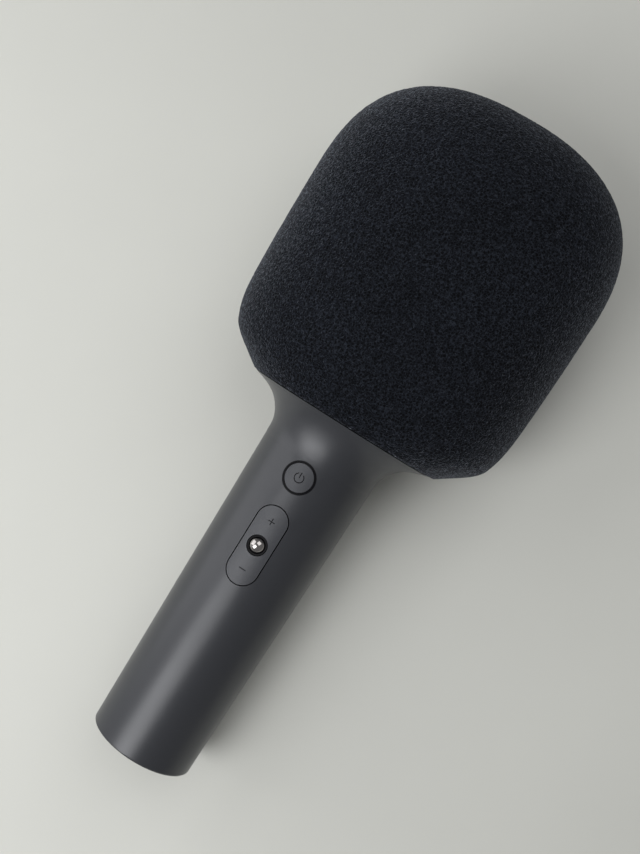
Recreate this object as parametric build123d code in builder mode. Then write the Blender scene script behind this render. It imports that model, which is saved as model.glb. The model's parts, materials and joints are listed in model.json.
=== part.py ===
"""A battery-powered karaoke microphone with its own loudspeakers, lying on its back.

The handle is a tapered tube that flares into an oval rim. A foam-covered basket lifts off the
rim, over a tower that holds two loudspeakers back to back and the microphone capsule.

Row frame, in millimetres: the microphone lies on the plane Z = 0, +Y runs towards the head, +X is
to the right of somebody who looks down at its buttons, and the origin is under the middle of it.
Each piece is drawn in the microphone's own frame, in which x is to the right, y is towards the
back and z runs up the axis from the tail. Depths are measured from the axis towards the front.
"""

import os
from math import atan2, cos, degrees, pi, radians, sin, sqrt, tan

from build123d import *

# ---------------------------------------------------------------- driving dimensions
LENGTH = 246.0  # tail to the top of the foam
TAIL_R = 18.65  # handle's outer radius at the tail
NECK_R = 20.55  # and at the neck, where it stops being round
NECK_Z = 114.0
WALL = 2.0  # handle's wall
TAIL_ROUND = 0.7  # rounding of the tail's edge

FLARE_R, FLARE_Z = 13.0, 116.3  # the flare's radius and start, seen from the front
FLARE_TURN = 72.0  # degrees that it bends through before it runs straight to the rim
RIM_Z = 130.2
RIM_DEPTH = 27.8  # half of the rim, front to back
RIM_SQUARENESS = 2.5  # 2 is an ellipse, more is squarer

HEAD_WIDTH = 107.0
HEAD_THICKNESS = 66.0
WIDE_Z = 199.0  # height of the widest section
HEAD_SQUARENESS = 2.5
WIDTH_FOOT_Z, WIDTH_LOW, WIDTH_TOP = 127.6, 4.6, 2.7  # front outline, below and above WIDE_Z
DEPTH_FOOT_Z, DEPTH_LOW, DEPTH_TOP = 119.5, 4.4, 3.4  # side outline

FOAM = 5.0  # thickness of the foam
BASKET = 2.0  # wall of the basket under it
COLLAR_Z, COLLAR_HEIGHT = 130.45, 3.9
COLLAR_OUTER = (32.0, 25.2)
COLLAR_INNER = (28.0, 22.6)
COLLAR_SQUARENESS = 3.2

SCREW_R, SCREW_CLEAR_R = 0.8, 1.1  # M1.6 screws and the holes they pass through
SCREW_HEAD_R, SCREW_HEAD = 1.9, 1.4
CHASSIS_SCREWS = [(-14.8, 0.0), (14.8, 0.0)]  # (x, y), as for the base's posts

CAP_Z, CAP_THICKNESS, CAP_LIP = 0.5, 2.2, 2.6  # tail cap's face, and the rim inside it
PORT_WIDTH, PORT_HEIGHT, PORT_LENGTH = 9.0, 3.3, 7.4
LIGHT_R, LIGHT_Y = 0.7, -8.0

POWER_Z, POWER_R, POWER_RING_R = 108.2, 4.8, 5.67
POWER_GAP = 0.12
POWER_FOOT, RING_FOOT = 15.6, 16.6  # depths of the undersides of the button and its ring
ROCKER_Z, ROCKER_LENGTH, ROCKER_WIDTH = 82.4, 28.6, 10.75
ROCKER_GAP = 0.35
ROCKER_FOOT = 16.2  # depth of the rocker's underside
EFFECT_R, EFFECT_RING_R, EFFECT_HOLE_R = 2.7, 3.3, 3.55
BEZEL_TOP, DOME_FOOT, DOME_TOP = 19.7, 19.4, 21.5
ICON_R, ICON_LINE, ICON_DEPTH = 1.75, 0.32, 0.22  # the marks' grooves
MARK = 2.4  # length of the plus and minus marks' lines
STEM_OFFSET = 9.0  # from the rocker's pivot to the switch under each end
ROCKER_PIVOT_DEPTH = 15.2
KEY_GAP = 0.05  # between a key's stem and the plunger that it works

FLOOR_DEPTH = 5.0  # underside of the main board
BOARD = 1.0  # thickness of every board
BUTTON_BOARD_DEPTH = 9.5
SWITCH_SIDE, SWITCH_HEIGHT = 4.6, 1.5
PLUNGER_R, PLUNGER_FOOT, PLUNGER_TOP = 1.0, 11.1, 12.6
CARRIER_DEPTH, CARRIER_THICKNESS = 12.8, 1.2
PIN_R, PIN_POST = 0.6, 1.7  # rocker's pins, and the thickness of the posts that hold them
BOARD_SCREWS = [(x, z) for x in (-8.0, 8.0) for z in (66.0, 100.0)]
BOARD_HOLE_R, BOARD_SCREW_HEAD_R, BOARD_SCREW_HEAD = 0.85, 1.5, 0.9
STANDOFF_R = 1.8
MAIN_BOARD_LOW, MAIN_BOARD_HIGH = 24.0, 112.0
BUTTON_BOARD_Z, BUTTON_BOARD_LENGTH = 88.0, 52.0

CELL_R, CELL_LENGTH, CELL_Z, CELL_DEPTH = 9.2, 65.0, 22.0, -5.0
CHASSIS_R, CHASSIS_WALL = 16.2, 1.6
CHASSIS_TOP_Z = 119.0
BULKHEAD_Z, PLATE = 17.5, 2.4  # lower bulkhead, and the thickness of the bulkheads and top ring
BOSS_HEIGHT = 5.0  # of the shell's bosses under the chassis

BASE_Z, BASE_HEIGHT = 128.35, 4.0
BASE_SIZE = (22.5, 20.5)
BASE_SQUARENESS = 2.3
BASE_POSTS = [(x, y) for x in (-10.5, 10.5) for y in (-11.5, 11.5)]
BASE_POST_R = 2.6
TOWER_HALF_WIDTH, TOWER_HALF_DEPTH, TOWER_CORNER = 24.0, 17.5, 12.0
TOWER_TOP_Z = 210.0
TOWER_WALL = 1.8
BOX_SCREW_DEPTH = 4.5  # of the screws' heads below the back of the loudspeaker box
LEDGE_DEPTH, LEDGE = 14.0, 1.5  # the ring that a driver sits on
DRIVER_Z, DRIVER_R = 172.0, 18.0
CONE_R, CONE_RIM, CONE_NECK = 13.6, 15.2, 10.2  # the cone's radius and the depths of its ends
COIL_R, MAGNET_R = 3.95, 9.5
POST_TOP, POST_R = 221.0, 5.0
BOOT_R, BOOT_HEIGHT, BOOT_FLOOR = 9.4, 9.0, 2.0
CAPSULE_R, CAPSULE_TOP = 7.0, 233.0
LEAD_R, LEAD_HOLE_R = 0.8, 1.6

# ---------------------------------------------------------------- shape of the head


def outline(z, reach, foot_z, low, top, inset):
    """Half-size of the head at height z, for its outside (inset 0) or a skin below it."""
    if z >= WIDE_Z:
        share, power = (z - WIDE_Z) / (LENGTH - inset - WIDE_Z), top
    else:
        share, power = (WIDE_Z - z) / (WIDE_Z - foot_z - inset / 2), low
    return (reach - inset) * max(0.0, 1 - share**power) ** (1 / power)


def head_half_width(z, inset=0.0):
    return outline(z, HEAD_WIDTH / 2, WIDTH_FOOT_Z, WIDTH_LOW, WIDTH_TOP, inset)


def head_half_depth(z, inset=0.0):
    return outline(z, HEAD_THICKNESS / 2, DEPTH_FOOT_Z, DEPTH_LOW, DEPTH_TOP, inset)


# ---------------------------------------------------------------- how it lies
# The tail's edge and the back of the head touch Z = 0, so the axis rises towards the head.
HEIGHTS = [COLLAR_Z + 0.5 * step for step in range(int(2 * (LENGTH - COLLAR_Z)))]
LIE = max(atan2(head_half_depth(z) - TAIL_R, z) for z in HEIGHTS)
REACH_Y = max(z * cos(LIE) + head_half_depth(z) * sin(LIE) for z in HEIGHTS)
TAIL_Y = (TAIL_R * sin(LIE) - REACH_Y) / 2

MIC = Plane(
    origin=(0, TAIL_Y, TAIL_R * cos(LIE)), x_dir=(1, 0, 0), z_dir=(0, cos(LIE), sin(LIE))
)
FRONT_VIEW = Plane(origin=MIC.origin, x_dir=MIC.x_dir, z_dir=-MIC.y_dir)  # x right, y up
SIDE_VIEW = Plane(origin=MIC.origin, x_dir=-MIC.y_dir, z_dir=-MIC.x_dir)  # x front, y up
MIC_AXIS = Axis(MIC.origin, MIC.z_dir)


def level(z):
    """The plane across the microphone at height z: x right, y back."""
    return MIC.offset(z)


def facing(depth):
    """The plane that faces the front at this depth: x right, y up the microphone."""
    return FRONT_VIEW.offset(depth)


def facing_back(depth):
    """The plane that faces the back at this depth behind the axis: x left, y up."""
    return Plane(MIC.origin, x_dir=-MIC.x_dir, z_dir=MIC.y_dir).offset(depth)


def handle_radius(z):
    """Outer radius of the handle at height z."""
    return TAIL_R + (NECK_R - TAIL_R) * z / NECK_Z


def Oval(half_width, half_depth, squareness, points=20):
    """A closed oval between an ellipse and a rectangle, as a face on the sketch's plane."""
    ring = []
    for step in range(points):
        turn = 2 * pi * step / points
        c, s = cos(turn), sin(turn)
        grow = (abs(c) ** squareness + abs(s) ** squareness) ** (-1 / squareness)
        ring.append((half_width * c * grow, half_depth * s * grow))
    with BuildLine() as edge:
        Spline(*ring, periodic=True)
    return make_face(edge.edges())


def oval_plate(z, height, half_width, half_depth, squareness, mode=Mode.ADD):
    with BuildSketch(level(z)) as plate:
        Oval(half_width, half_depth, squareness)
    extrude(plate.sketch, amount=height, mode=mode)


def round_plate(z, height, radius, mode=Mode.ADD, places=((0, 0),)):
    """Discs across the axis, at places given as (x, y)."""
    with BuildSketch(level(z)) as plate:
        with Locations(*places):
            Circle(radius)
    extrude(plate.sketch, amount=height, mode=mode)


def stud(depth, height, radius, places, mode=Mode.ADD):
    """Cylinders that point to the front from this depth, at places given as (x, z)."""
    with BuildSketch(facing(depth)) as discs:
        with Locations(*places):
            Circle(radius)
    extrude(discs.sketch, amount=height, mode=mode)


def block(depth, height, width, length, places, mode=Mode.ADD):
    """Boxes that stand to the front from this depth, at places given as (x, z)."""
    with BuildSketch(facing(depth)) as oblongs:
        with Locations(*places):
            Rectangle(width, length)
    extrude(oblongs.sketch, amount=height, mode=mode)


# ---------------------------------------------------------------- handle


def flare_size(z, skin=0.0):
    """Half-width, half-depth and squareness of the flare at height z, less a skin.

    Seen from the front it is an arc that begins at FLARE_Z and runs on straight; seen from the
    side, a parabola that begins at NECK_Z.
    """
    turn, bend = radians(FLARE_TURN), FLARE_R + skin
    rise = max(0.0, z - FLARE_Z)
    straight = max(0.0, rise - bend * sin(turn))
    half_width = NECK_R + FLARE_R - sqrt(bend**2 - (rise - straight) ** 2) + straight * tan(turn)
    share = (z - NECK_Z) / (RIM_Z - NECK_Z)
    slope = 2 * (RIM_DEPTH - NECK_R) * share / (RIM_Z - NECK_Z)
    half_depth = NECK_R + (RIM_DEPTH - NECK_R) * share**2 - skin * sqrt(1 + slope**2)
    return half_width, half_depth, 2 + (RIM_SQUARENESS - 2) * share


def flare(heights, skin):
    """The trumpet above the neck, lofted through sections of the flare."""
    with BuildSketch(level(NECK_Z)) as neck:
        Circle(NECK_R - skin)
    sections = [neck.sketch]
    for z in heights:
        with BuildSketch(level(z)) as section:
            Oval(*flare_size(z, skin))
        sections.append(section.sketch)
    loft(sections)


def taper(skin, bottom, top):
    """The cone of the handle between two heights, less a skin."""
    with BuildSketch(FRONT_VIEW) as profile:
        Polygon(
            (0, bottom),
            (handle_radius(bottom) - skin, bottom),
            (handle_radius(top) - skin, top),
            (0, top),
            align=None,
        )
    revolve(profile.sketch, axis=MIC_AXIS)


with BuildPart() as handle_blank:
    taper(0, 0, NECK_Z)
    fillet(handle_blank.edges().filter_by(GeomType.CIRCLE).group_by(MIC_AXIS)[0], TAIL_ROUND)

with BuildPart() as handle_bore:
    taper(WALL, 0, NECK_Z)
    flare([118, 122, 126, RIM_Z + 0.25], WALL)

with BuildPart() as handle_shell:
    add(handle_blank.part)
    flare([118, 122, 125, 127.2, 128.6, 129.4, RIM_Z], 0)
    add(handle_bore.part, mode=Mode.SUBTRACT)
    # two bosses that the chassis screws down to, each reaching out to the wall
    with BuildSketch(level(CHASSIS_TOP_Z - BOSS_HEIGHT)):
        with Locations(*[(1.08 * x, y) for x, y in CHASSIS_SCREWS]):
            Rectangle(5.4, 5.2)
        Circle(NECK_R - WALL + 0.3, mode=Mode.INTERSECT)
        with Locations(*CHASSIS_SCREWS):
            Circle(SCREW_R, mode=Mode.SUBTRACT)
    extrude(amount=BOSS_HEIGHT)
    stud(0, 40, POWER_RING_R, [(0, POWER_Z)], Mode.SUBTRACT)
    with BuildSketch(facing(0)):
        with Locations((0, ROCKER_Z)):
            SlotOverall(ROCKER_LENGTH + 2 * ROCKER_GAP, ROCKER_WIDTH + 2 * ROCKER_GAP, rotation=90)
    extrude(amount=40, mode=Mode.SUBTRACT)

# ---------------------------------------------------------------- tail
CAP_R = TAIL_R - WALL - 0.05
with BuildPart() as tail_cap:
    round_plate(CAP_Z, CAP_THICKNESS + CAP_LIP, CAP_R)
    round_plate(CAP_Z + CAP_THICKNESS, CAP_LIP, CAP_R - 1.5, Mode.SUBTRACT)
    with BuildSketch(level(0)):
        SlotOverall(PORT_WIDTH + 0.4, PORT_HEIGHT + 0.4)
        with Locations((0, LIGHT_Y)):
            Circle(LIGHT_R + 0.05)
    extrude(amount=10, mode=Mode.SUBTRACT)

with BuildPart() as usb_socket:
    with BuildSketch(level(CAP_Z + 0.6)):
        SlotOverall(PORT_WIDTH, PORT_HEIGHT)
    extrude(amount=PORT_LENGTH)
    # the opening, round its tongue
    with BuildSketch(level(CAP_Z + 0.6)):
        SlotOverall(PORT_WIDTH - 0.6, PORT_HEIGHT - 0.6)
        Rectangle(6.6, 0.7, mode=Mode.SUBTRACT)
    extrude(amount=PORT_LENGTH - 1, mode=Mode.SUBTRACT)

with BuildPart() as usb_board:
    block(-PORT_HEIGHT / 2 - BOARD, BOARD, 14, 12, [(0, 10.5)])

with BuildPart() as charge_light:
    round_plate(CAP_Z + 0.1, 6.0, LIGHT_R, places=[(0, LIGHT_Y)])

# ---------------------------------------------------------------- chassis and battery
with BuildPart() as chassis:
    with BuildSketch(level(BULKHEAD_Z)):
        Circle(CHASSIS_R)
        Circle(CHASSIS_R - CHASSIS_WALL, mode=Mode.SUBTRACT)
        with Locations((0, -CHASSIS_R - FLOOR_DEPTH)):
            Rectangle(40, 2 * CHASSIS_R, mode=Mode.SUBTRACT)
    extrude(amount=CHASSIS_TOP_Z - BULKHEAD_Z)
    # room for the shell's bosses
    block(-4, 20, 40, 7, [(0, CHASSIS_TOP_Z - 3.5)], Mode.SUBTRACT)
    # the bulkheads at the cell's two ends
    for z in (BULKHEAD_Z, CELL_Z + CELL_LENGTH + 1.6):
        with BuildSketch(level(z)):
            Circle(CHASSIS_R - CHASSIS_WALL / 2)
            with Locations((0, -CHASSIS_R - FLOOR_DEPTH + 2)):
                Rectangle(40, 2 * CHASSIS_R, mode=Mode.SUBTRACT)
            with Locations((0, -CELL_DEPTH)):
                Circle(CELL_R / 2, mode=Mode.SUBTRACT)
        extrude(amount=PLATE)
    # the top ring, which sits on the shell's bosses
    with BuildSketch(level(CHASSIS_TOP_Z)):
        Circle(NECK_R - WALL - 0.15)
        RectangleRounded(18, 14, 4, mode=Mode.SUBTRACT)
        with Locations(*CHASSIS_SCREWS):
            Circle(SCREW_CLEAR_R, mode=Mode.SUBTRACT)
    extrude(amount=PLATE)
    # posts that carry the head's base
    ring_top = CHASSIS_TOP_Z + PLATE
    round_plate(ring_top, BASE_Z - ring_top, BASE_POST_R, places=BASE_POSTS)
    round_plate(ring_top, BASE_Z - ring_top, SCREW_R, Mode.SUBTRACT, BASE_POSTS)

with BuildPart() as chassis_screws:
    round_plate(ring_top, SCREW_HEAD, SCREW_HEAD_R, places=CHASSIS_SCREWS)
    round_plate(CHASSIS_TOP_Z - 3.5, PLATE + 3.5, SCREW_R, places=CHASSIS_SCREWS)

with BuildPart() as battery_cell:
    round_plate(CELL_Z, CELL_LENGTH, CELL_R, places=[(0, -CELL_DEPTH)])
    fillet(battery_cell.edges().filter_by(GeomType.CIRCLE), 0.8)
    round_plate(CELL_Z + CELL_LENGTH, 0.6, 3.0, places=[(0, -CELL_DEPTH)])

with BuildPart() as battery_tabs:
    for z in (CELL_Z - 0.3, CELL_Z + CELL_LENGTH + 0.6):
        with BuildSketch(level(z)):
            with Locations((0, -CELL_DEPTH - 2.5)):
                Rectangle(4, 9)
        extrude(amount=0.3)

# ---------------------------------------------------------------- boards
with BuildPart() as main_board:
    block(
        FLOOR_DEPTH,
        BOARD,
        28,
        MAIN_BOARD_HIGH - MAIN_BOARD_LOW,
        [(0, (MAIN_BOARD_LOW + MAIN_BOARD_HIGH) / 2)],
    )
    stud(0, 20, BOARD_HOLE_R, BOARD_SCREWS, Mode.SUBTRACT)

TOP_OF_BOARD = FLOOR_DEPTH + BOARD
with BuildPart() as bluetooth_module:
    block(TOP_OF_BOARD, 2.0, 12, 15, [(-4, 52)])
with BuildPart() as audio_processor:
    block(TOP_OF_BOARD, 1.0, 8, 8, [(0, 82)])
with BuildPart() as power_amplifier:
    block(TOP_OF_BOARD, 1.4, 7, 7, [(0, 100)])
with BuildPart() as filter_capacitors:
    stud(TOP_OF_BOARD, 6.5, 3.1, [(-4.5, 36), (4.5, 36)])
with BuildPart() as lead_socket:
    block(TOP_OF_BOARD, 2.6, 8, 4, [(0, 109.5)])

with BuildPart() as board_standoffs:
    rise = BUTTON_BOARD_DEPTH - TOP_OF_BOARD
    stud(TOP_OF_BOARD, rise, STANDOFF_R, BOARD_SCREWS)
    stud(TOP_OF_BOARD, rise, BOARD_HOLE_R, BOARD_SCREWS, Mode.SUBTRACT)

with BuildPart() as button_board:
    block(BUTTON_BOARD_DEPTH, BOARD, 20, BUTTON_BOARD_LENGTH, [(0, BUTTON_BOARD_Z)])
    stud(0, 20, BOARD_HOLE_R, BOARD_SCREWS, Mode.SUBTRACT)

# ---------------------------------------------------------------- switches
SWITCHES = {
    "power": POWER_Z,
    "volume_up": ROCKER_Z + STEM_OFFSET,
    "effect": ROCKER_Z,
    "volume_down": ROCKER_Z - STEM_OFFSET,
}
SWITCH_DEPTH = BUTTON_BOARD_DEPTH + BOARD


def switch_body(z):
    with BuildPart() as body:
        block(SWITCH_DEPTH, SWITCH_HEIGHT, SWITCH_SIDE, SWITCH_SIDE, [(0, z)])
        stud(SWITCH_DEPTH + 0.2, SWITCH_HEIGHT, PLUNGER_R + 0.06, [(0, z)], Mode.SUBTRACT)
    return body


def switch_plunger(z):
    with BuildPart() as plunger:
        stud(PLUNGER_FOOT, PLUNGER_TOP - PLUNGER_FOOT, PLUNGER_R, [(0, z)])
    return plunger


switch_pieces = {}
for key, height in SWITCHES.items():
    switch_pieces[key + "_switch"] = switch_body(height)
    switch_pieces[key + "_plunger"] = switch_plunger(height)

# ---------------------------------------------------------------- key carrier
PIN_POST_X = ROCKER_WIDTH / 2 + 0.45  # inner face of the posts that hold the rocker's pins
CARRIER_TOP = CARRIER_DEPTH + CARRIER_THICKNESS
STEM_FOOT = PLUNGER_TOP + KEY_GAP
with BuildPart() as key_carrier:
    block(CARRIER_DEPTH, CARRIER_THICKNESS, 19, BUTTON_BOARD_LENGTH, [(0, BUTTON_BOARD_Z)])
    stud(CARRIER_DEPTH - 3, 8, 1.6, [(0, z) for z in SWITCHES.values()], Mode.SUBTRACT)
    block(
        CARRIER_TOP,
        ROCKER_PIVOT_DEPTH + 0.8 - CARRIER_TOP,
        PIN_POST,
        4.0,
        [(side * (PIN_POST_X + PIN_POST / 2), ROCKER_Z) for side in (-1, 1)],
    )
    # legs that stand on the button board
    stud(SWITCH_DEPTH, CARRIER_DEPTH - SWITCH_DEPTH, STANDOFF_R, BOARD_SCREWS)
    stud(SWITCH_DEPTH, 8, BOARD_HOLE_R, BOARD_SCREWS, Mode.SUBTRACT)
    # the pins' holes
    with BuildSketch(SIDE_VIEW):
        with Locations((ROCKER_PIVOT_DEPTH, ROCKER_Z)):
            Circle(PIN_R)
    extrude(amount=20, both=True, mode=Mode.SUBTRACT)

with BuildPart() as rocker_pins:
    for side in (-1, 1):
        with BuildSketch(SIDE_VIEW.offset(side * (PIN_POST_X - 1.4))):
            with Locations((ROCKER_PIVOT_DEPTH, ROCKER_Z)):
                Circle(PIN_R)
        extrude(amount=side * (PIN_POST + 1.4))

with BuildPart() as board_screws:
    stud(CARRIER_TOP, BOARD_SCREW_HEAD, BOARD_SCREW_HEAD_R, BOARD_SCREWS)
    stud(FLOOR_DEPTH - 1, CARRIER_TOP - FLOOR_DEPTH + 1, SCREW_R, BOARD_SCREWS)

# ---------------------------------------------------------------- keys
with BuildPart() as power_light_ring:
    stud(RING_FOOT, 8, POWER_RING_R, [(0, POWER_Z)])
    add(handle_blank.part, mode=Mode.INTERSECT)
    stud(RING_FOOT, 0.5, POWER_RING_R + 0.9, [(0, POWER_Z)])
    stud(RING_FOOT - 1, 12, POWER_R + POWER_GAP, [(0, POWER_Z)], Mode.SUBTRACT)

with BuildPart() as power_button:
    stud(POWER_FOOT, 8, POWER_R, [(0, POWER_Z)])
    add(handle_blank.part, mode=Mode.INTERSECT)
    stud(POWER_FOOT, 0.8, POWER_R + 1.2, [(0, POWER_Z)])
    stud(STEM_FOOT, POWER_FOOT - STEM_FOOT, 1.3, [(0, POWER_Z)])
    # the standby mark: an open circle with a bar in its gap
    with BuildSketch(facing(handle_radius(POWER_Z) - ICON_DEPTH)):
        with Locations((0, POWER_Z)):
            Circle(ICON_R)
            Circle(ICON_R - ICON_LINE, mode=Mode.SUBTRACT)
        with Locations((0, POWER_Z + ICON_R)):
            Rectangle(1.5, 1.4, mode=Mode.SUBTRACT)
        with Locations((0, POWER_Z + 0.55 * ICON_R)):
            Rectangle(ICON_LINE, 1.15 * ICON_R)
    extrude(amount=2, mode=Mode.SUBTRACT)

with BuildPart() as volume_rocker:
    with BuildSketch(facing(ROCKER_FOOT)):
        with Locations((0, ROCKER_Z)):
            SlotOverall(ROCKER_LENGTH, ROCKER_WIDTH, rotation=90)
    extrude(amount=8)
    add(handle_blank.part, mode=Mode.INTERSECT)
    # lugs that reach down to the pins
    block(ROCKER_PIVOT_DEPTH - 0.95, 2, ROCKER_WIDTH - 0.3, 3.6, [(0, ROCKER_Z)])
    plus_z, minus_z = ROCKER_Z + STEM_OFFSET, ROCKER_Z - STEM_OFFSET
    stud(STEM_FOOT, ROCKER_FOOT - STEM_FOOT, PLUNGER_R, [(0, plus_z), (0, minus_z)])
    stud(STEM_FOOT, 12, EFFECT_HOLE_R, [(0, ROCKER_Z)], Mode.SUBTRACT)
    with BuildSketch(SIDE_VIEW):
        with Locations((ROCKER_PIVOT_DEPTH, ROCKER_Z)):
            Circle(PIN_R + 0.04)
    extrude(amount=20, both=True, mode=Mode.SUBTRACT)
    # the plus and minus marks
    for z in (plus_z, minus_z):
        with BuildSketch(facing(handle_radius(z) - ICON_DEPTH)):
            with Locations((0, z)):
                Rectangle(MARK, ICON_LINE)
                if z == plus_z:
                    Rectangle(ICON_LINE, MARK)
        extrude(amount=2, mode=Mode.SUBTRACT)

with BuildPart() as effect_bezel:
    stud(CARRIER_TOP, BEZEL_TOP - CARRIER_TOP, EFFECT_RING_R, [(0, ROCKER_Z)])
    stud(CARRIER_TOP, 8, EFFECT_R + 0.1, [(0, ROCKER_Z)], Mode.SUBTRACT)

with BuildPart() as effect_button:
    rise, middle = DOME_TOP - DOME_FOOT, EFFECT_R / 2
    dome_r = (EFFECT_R**2 + rise**2) / (2 * rise)
    with BuildSketch(SIDE_VIEW):
        with BuildLine():
            Polyline(
                (DOME_FOOT, ROCKER_Z + EFFECT_R),
                (17.2, ROCKER_Z + EFFECT_R),
                (17.2, ROCKER_Z + 1.2),
                (STEM_FOOT, ROCKER_Z + 1.2),
                (STEM_FOOT, ROCKER_Z),
                (DOME_TOP, ROCKER_Z),
            )
            ThreePointArc(
                (DOME_TOP, ROCKER_Z),
                (DOME_TOP - dome_r + sqrt(dome_r**2 - middle**2), ROCKER_Z + middle),
                (DOME_FOOT, ROCKER_Z + EFFECT_R),
            )
        make_face()
    revolve(axis=Axis(MIC.origin + ROCKER_Z * MIC.z_dir, -MIC.y_dir))

# ---------------------------------------------------------------- head base
BASE_TOP_Z = BASE_Z + BASE_HEIGHT
SCREW_SEAT = 1.7  # depth of the counterbores in the base
with BuildPart() as head_base:
    oval_plate(BASE_Z, BASE_HEIGHT, *BASE_SIZE, BASE_SQUARENESS)
    with BuildSketch(level(BASE_Z)):
        RectangleRounded(14, 12, 3)
        with Locations(*BASE_POSTS):
            Circle(SCREW_CLEAR_R)
    extrude(amount=BASE_HEIGHT, mode=Mode.SUBTRACT)
    round_plate(BASE_TOP_Z - SCREW_SEAT, SCREW_SEAT, SCREW_HEAD_R + 0.1, Mode.SUBTRACT, BASE_POSTS)

with BuildPart() as head_base_screws:
    round_plate(BASE_TOP_Z - SCREW_SEAT, SCREW_HEAD, SCREW_HEAD_R, places=BASE_POSTS)
    round_plate(BASE_Z - 4, BASE_HEIGHT + 4 - SCREW_SEAT, SCREW_R, places=BASE_POSTS)

with BuildPart() as cover_grip_ring:
    oval_plate(BASE_TOP_Z - 1.6, 1.4, COLLAR_INNER[0] - 0.1, COLLAR_INNER[1] - 0.1, 3.0)
    oval_plate(BASE_TOP_Z - 2, 2, *BASE_SIZE, BASE_SQUARENESS, Mode.SUBTRACT)

# ---------------------------------------------------------------- loudspeaker tower
TOWER_Z = BASE_TOP_Z
BOSSES = [(x, z) for x in (-18.5, 18.5) for z in (TOWER_Z + 7, TOWER_TOP_Z - 7)]
BOX_SCREW_FOOT = 8.0  # depth that the box's screws reach in the front half


def tower_section(skin):
    RectangleRounded(
        2 * (TOWER_HALF_WIDTH - skin), 2 * (TOWER_HALF_DEPTH - skin), TOWER_CORNER - skin
    )


def tower_half(plane_of, front):
    """One half of the loudspeaker box. plane_of gives planes that face its driver."""
    keep = -1 if front else 1
    with BuildPart() as half:
        with BuildSketch(level(TOWER_Z)):
            tower_section(0)
            with Locations((0, -keep * 20)):
                Rectangle(60, 40, mode=Mode.SUBTRACT)
        extrude(amount=TOWER_TOP_Z - TOWER_Z)
        with BuildSketch(level(TOWER_Z + TOWER_WALL)):
            tower_section(TOWER_WALL)
        extrude(amount=TOWER_TOP_Z - TOWER_Z - 2 * TOWER_WALL, mode=Mode.SUBTRACT)
        # bosses for the screws that close the box
        with BuildSketch(plane_of(0)):
            with Locations(*BOSSES):
                Circle(2.6)
        extrude(amount=TOWER_HALF_DEPTH)
        with BuildSketch(level(TOWER_Z)):
            tower_section(0)
        extrude(amount=TOWER_TOP_Z - TOWER_Z, mode=Mode.INTERSECT)
        # the ring that the driver sits on, and its hole
        with BuildSketch(plane_of(LEDGE_DEPTH)):
            with Locations((0, DRIVER_Z)):
                Circle(DRIVER_R + 1.6)
        extrude(amount=TOWER_HALF_DEPTH - LEDGE_DEPTH)
        with BuildSketch(plane_of(LEDGE_DEPTH + LEDGE)):
            with Locations((0, DRIVER_Z)):
                Circle(DRIVER_R + 0.1)
        extrude(amount=10, mode=Mode.SUBTRACT)
        with BuildSketch(plane_of(0)):
            with Locations((0, DRIVER_Z)):
                Circle(DRIVER_R - 1.7)
        extrude(amount=30, mode=Mode.SUBTRACT)
        # screw holes
        with BuildSketch(plane_of(0)):
            with Locations(*BOSSES):
                Circle(SCREW_R if front else SCREW_R + 0.2)
        extrude(amount=10 if front else 30, mode=Mode.SUBTRACT)
        if not front:
            with BuildSketch(plane_of(TOWER_HALF_DEPTH - BOX_SCREW_DEPTH)):
                with Locations(*BOSSES):
                    Circle(SCREW_HEAD_R + 0.1)
            extrude(amount=10, mode=Mode.SUBTRACT)
        # the way for the leads, through the floor and the roof
        with BuildSketch(level(TOWER_Z)):
            RectangleRounded(10, 8, 2)
        extrude(amount=TOWER_WALL, mode=Mode.SUBTRACT)
        with BuildSketch(level(TOWER_TOP_Z - TOWER_WALL)):
            Circle(LEAD_HOLE_R)
        extrude(amount=TOWER_WALL, mode=Mode.SUBTRACT)
    return half


speaker_box_front = tower_half(facing, True)
speaker_box_rear = tower_half(facing_back, False)

with BuildPart() as speaker_box_screws:
    with BuildSketch(facing_back(TOWER_HALF_DEPTH - BOX_SCREW_DEPTH)):
        with Locations(*BOSSES):
            Circle(SCREW_HEAD_R - 0.1)
    extrude(amount=SCREW_HEAD)
    with BuildSketch(facing_back(-BOX_SCREW_FOOT)):
        with Locations(*BOSSES):
            Circle(SCREW_R)
    extrude(amount=TOWER_HALF_DEPTH - BOX_SCREW_DEPTH + BOX_SCREW_FOOT)

# ---------------------------------------------------------------- drivers


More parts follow.
